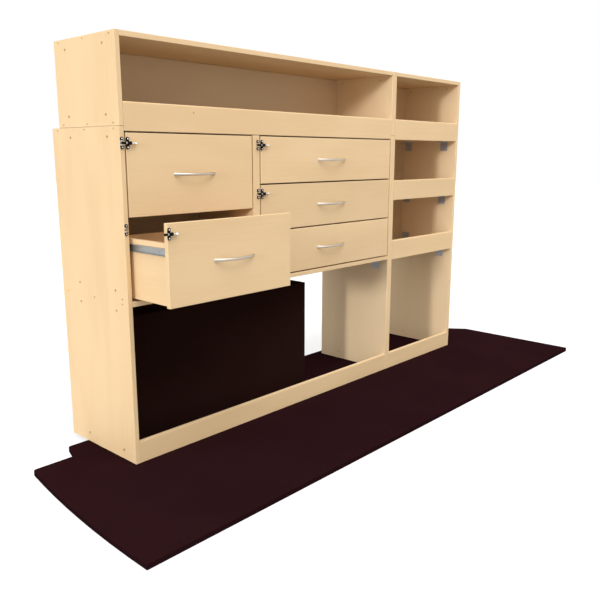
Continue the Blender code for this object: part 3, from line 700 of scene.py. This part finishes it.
latch_screw = cross_head("latch_screw", 0.0022)
lobe_height = 0.0032
screw_rise = 0.01175
cheek_end = 0.0068
lobe_radius = 0.0049
screw_lift = 0.0003
cheek_steel_painted_reflection = (0.56, 0.47, 0.38)
rod_radius = 0.0036
rod_end = 0.0033
sleeve_end = 0.0103
shank_end = 0.0200
shoulder = 0.0289
piece_gap = 0.0001
knob_turning = (
    (0.0000, 0.0033), (0.0045, 0.0033), (0.0048, 0.0030), (0.0048, 0.0022), (0.0090, 0.0022),
    (0.0090, 0.0028), (0.0094, 0.0036), (0.0102, 0.0042), (0.0112, 0.0042), (0.0114, 0.0039),
    (0.0118, 0.0039), (0.0120, 0.0042), (0.0129, 0.0042), (0.0131, 0.0039), (0.0135, 0.0039),
    (0.0137, 0.0042), (0.0158, 0.0042), (0.0169, 0.0037), (0.0174, 0.0026),
)
for number in range(1, 6):
    drawer = f"drawer_{number}"
    for part in ("latch_body", "keeper"):
        node = f"{drawer}_{part}"
        body = "rack" if part == "keeper" else drawer
        low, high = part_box(node)
        middle_x = low.x + lobe_radius
        piece = copy_of(node, f"{part}_{number}")
        edges = piece.modifiers.new("moulded_round", "BEVEL")
        edges.width = 0.00028
        edges.segments = 2
        edges.limit_method = "ANGLE"
        edges.angle_limit = math.radians(40)
        bpy.ops.object.modifier_apply(modifier="moulded_round")
        bpy.ops.object.shade_smooth_by_angle(angle=math.radians(30))
        middle_z = (low.z + high.z) / 2
        if part == "keeper":
            finish, tree, shader = nylon(f"keeper_nylon_{number}")
            axes = put(tree, "ShaderNodeSeparateXYZ", {0: place(tree)}).outputs
            off = maths(tree, "ABSOLUTE", maths(tree, "SUBTRACT", axes[2], middle_z))
            # The steel cheeks are tinted tan: a painted reflection of the wood around them.
            steel = maths(tree, "LESS_THAN", off, cheek_end)
            was = shader.inputs["Base Color"].links[0].from_socket
            tree.links.new(tones(tree, steel, was, cheek_steel_painted_reflection), shader.inputs["Base Color"])
            tree.links.new(steel, shader.inputs["Metallic"])
            piece.data.materials.append(finish)
        else:
            piece.data.materials.append(black_nylon)
        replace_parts(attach(piece, body), node)
        seat_y = high.y - lobe_height + screw_lift
        screws = [((middle_x, seat_y, middle_z + up * screw_rise), (0, -1, 0)) for up in (-1, 1)]
        heads_of(latch_screw, screws, f"{part}_screws_{number}", nickel_screw, body)

    low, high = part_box(f"{drawer}_bolt")
    axis = (low.y + high.y) / 2
    level = (low.z + high.z) / 2
    length = high.x - low.x
    start = (low.x, axis, level)
    nose = turned(f"bolt_nose_{number}", start, [
        (0, 0.0020), (0.0003, 0.0027), (0.0010, 0.0034), (0.0018, rod_radius),
        (sleeve_end - 0.0004, rod_radius), (sleeve_end, rod_end),
    ], 40)
    nose.data.materials.append(black_nylon)
    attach(nose, f"bolt_{number}")
    shank = turned(f"bolt_shank_{number}", start, [
        (sleeve_end + piece_gap, rod_end), (sleeve_end + 0.0004, rod_radius), (shank_end, rod_radius),
    ], 40)
    shank.data.materials.append(zinc_screw)
    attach(shank, f"bolt_{number}")
    profile = [(shank_end + piece_gap, rod_radius), (shoulder - 0.0003, rod_radius)]
    profile += [(shoulder + along, radius) for along, radius in knob_turning]
    profile.append((length, 0.0010))
    knob = turned(f"bolt_knob_{number}", start, profile, 40)
    knob.data.materials.append(bright_steel)
    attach(knob, f"bolt_{number}")
    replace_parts(knob, f"{drawer}_bolt")
bpy.data.objects.remove(latch_screw)


# ---- Studio ------------------------------------------------------------------------------------
# A plain pale floor under the rack and white all round. A small lamp and a broad one shine from the
# left, another broad one from above and in front, and an even white light from every side.

floor_grey = (0.36, 0.36, 0.36, 1)
floor_glow = 0.70
air_light = 0.60


def seen_directly(tree):
    """1 where the camera sees a surface, straight or by a gloss or through glass, and 0 elsewhere."""
    rays = put(tree, "ShaderNodeLightPath")
    seen = maths(tree, "MAXIMUM", rays.outputs["Is Camera Ray"], rays.outputs["Is Glossy Ray"])
    return maths(tree, "MAXIMUM", seen, rays.outputs["Is Transmission Ray"])


bpy.ops.object.select_all(action="DESELECT")
bpy.ops.mesh.primitive_plane_add(size=40, location=(0, 0, -0.0005))
ground = bpy.context.object
ground.name = "studio_floor"
made, tree, shader = new_finish("studio_white")
shader.inputs["Base Color"].default_value = floor_grey
shader.inputs["Roughness"].default_value = 0.9
shader.inputs["Specular IOR Level"].default_value = 0.0
shader.inputs["Emission Color"].default_value = (1, 1, 1, 1)
glow = maths(tree, "MULTIPLY", seen_directly(tree), floor_glow)
tree.links.new(glow, shader.inputs["Emission Strength"])
ground.data.materials.append(made)

world = bpy.data.worlds.new("studio_air")
world.use_nodes = True
tree = world.node_tree
air = tree.nodes["Background"]
air.inputs["Color"].default_value = (1, 1, 1, 1)
tree.links.new(spread(tree, seen_directly(tree), 0.0, 1.0, air_light, 1.0), air.inputs["Strength"])
bpy.context.scene.world = world


def lamp(name, travel, strength, soft):
    """Even light that travels one way, with soft-edged shadows."""
    data = bpy.data.lights.new(name, "SUN")
    data.energy = strength
    data.angle = math.radians(soft)
    made = bpy.data.objects.new(name, data)
    bpy.context.scene.collection.objects.link(made)
    made.rotation_mode = "QUATERNION"
    made.rotation_quaternion = Vector(travel).to_track_quat("-Z", "Y")


lamp("side_lamp", (1.0, 0.19, -0.13), 1.09, 5)
lamp("side_fill", (1.0, 0.15, -0.45), 1.10, 80)
lamp("top_front_lamp", (0.0, 0.447, -0.894), 2.20, 45)


# ---- Camera ------------------------------------------------------------------------------------
# The photograph's viewpoint: left of the rack and just under its top, a normal lens looking
# slightly down.

heading, dip, roll = 0.74028, 0.20972, 0.00200
film_width = 36.0
focal_pixels = 682.816
photo_pixels = 600
camera_place = (-2.03411, -1.63545, 0.93792)
ahead = Vector((math.cos(heading) * math.cos(dip), math.sin(heading) * math.cos(dip), -math.sin(dip)))
right = Vector((math.sin(heading), -math.cos(heading), 0))
up = right.cross(ahead)
right, up = math.cos(roll) * right + math.sin(roll) * up, math.cos(roll) * up - math.sin(roll) * right
camera_data = bpy.data.cameras.new("photo_camera")
camera_data.sensor_width = film_width
camera_data.lens = film_width * focal_pixels / photo_pixels
camera_data.clip_start = 0.05
camera = bpy.data.objects.new("photo_camera", camera_data)
bpy.context.scene.collection.objects.link(camera)
turn = Matrix((right, up, -ahead)).transposed().to_4x4()
camera.matrix_world = Matrix.Translation(camera_place) @ turn
bpy.context.scene.camera = camera
bpy.context.scene.view_settings.view_transform = "Standard"
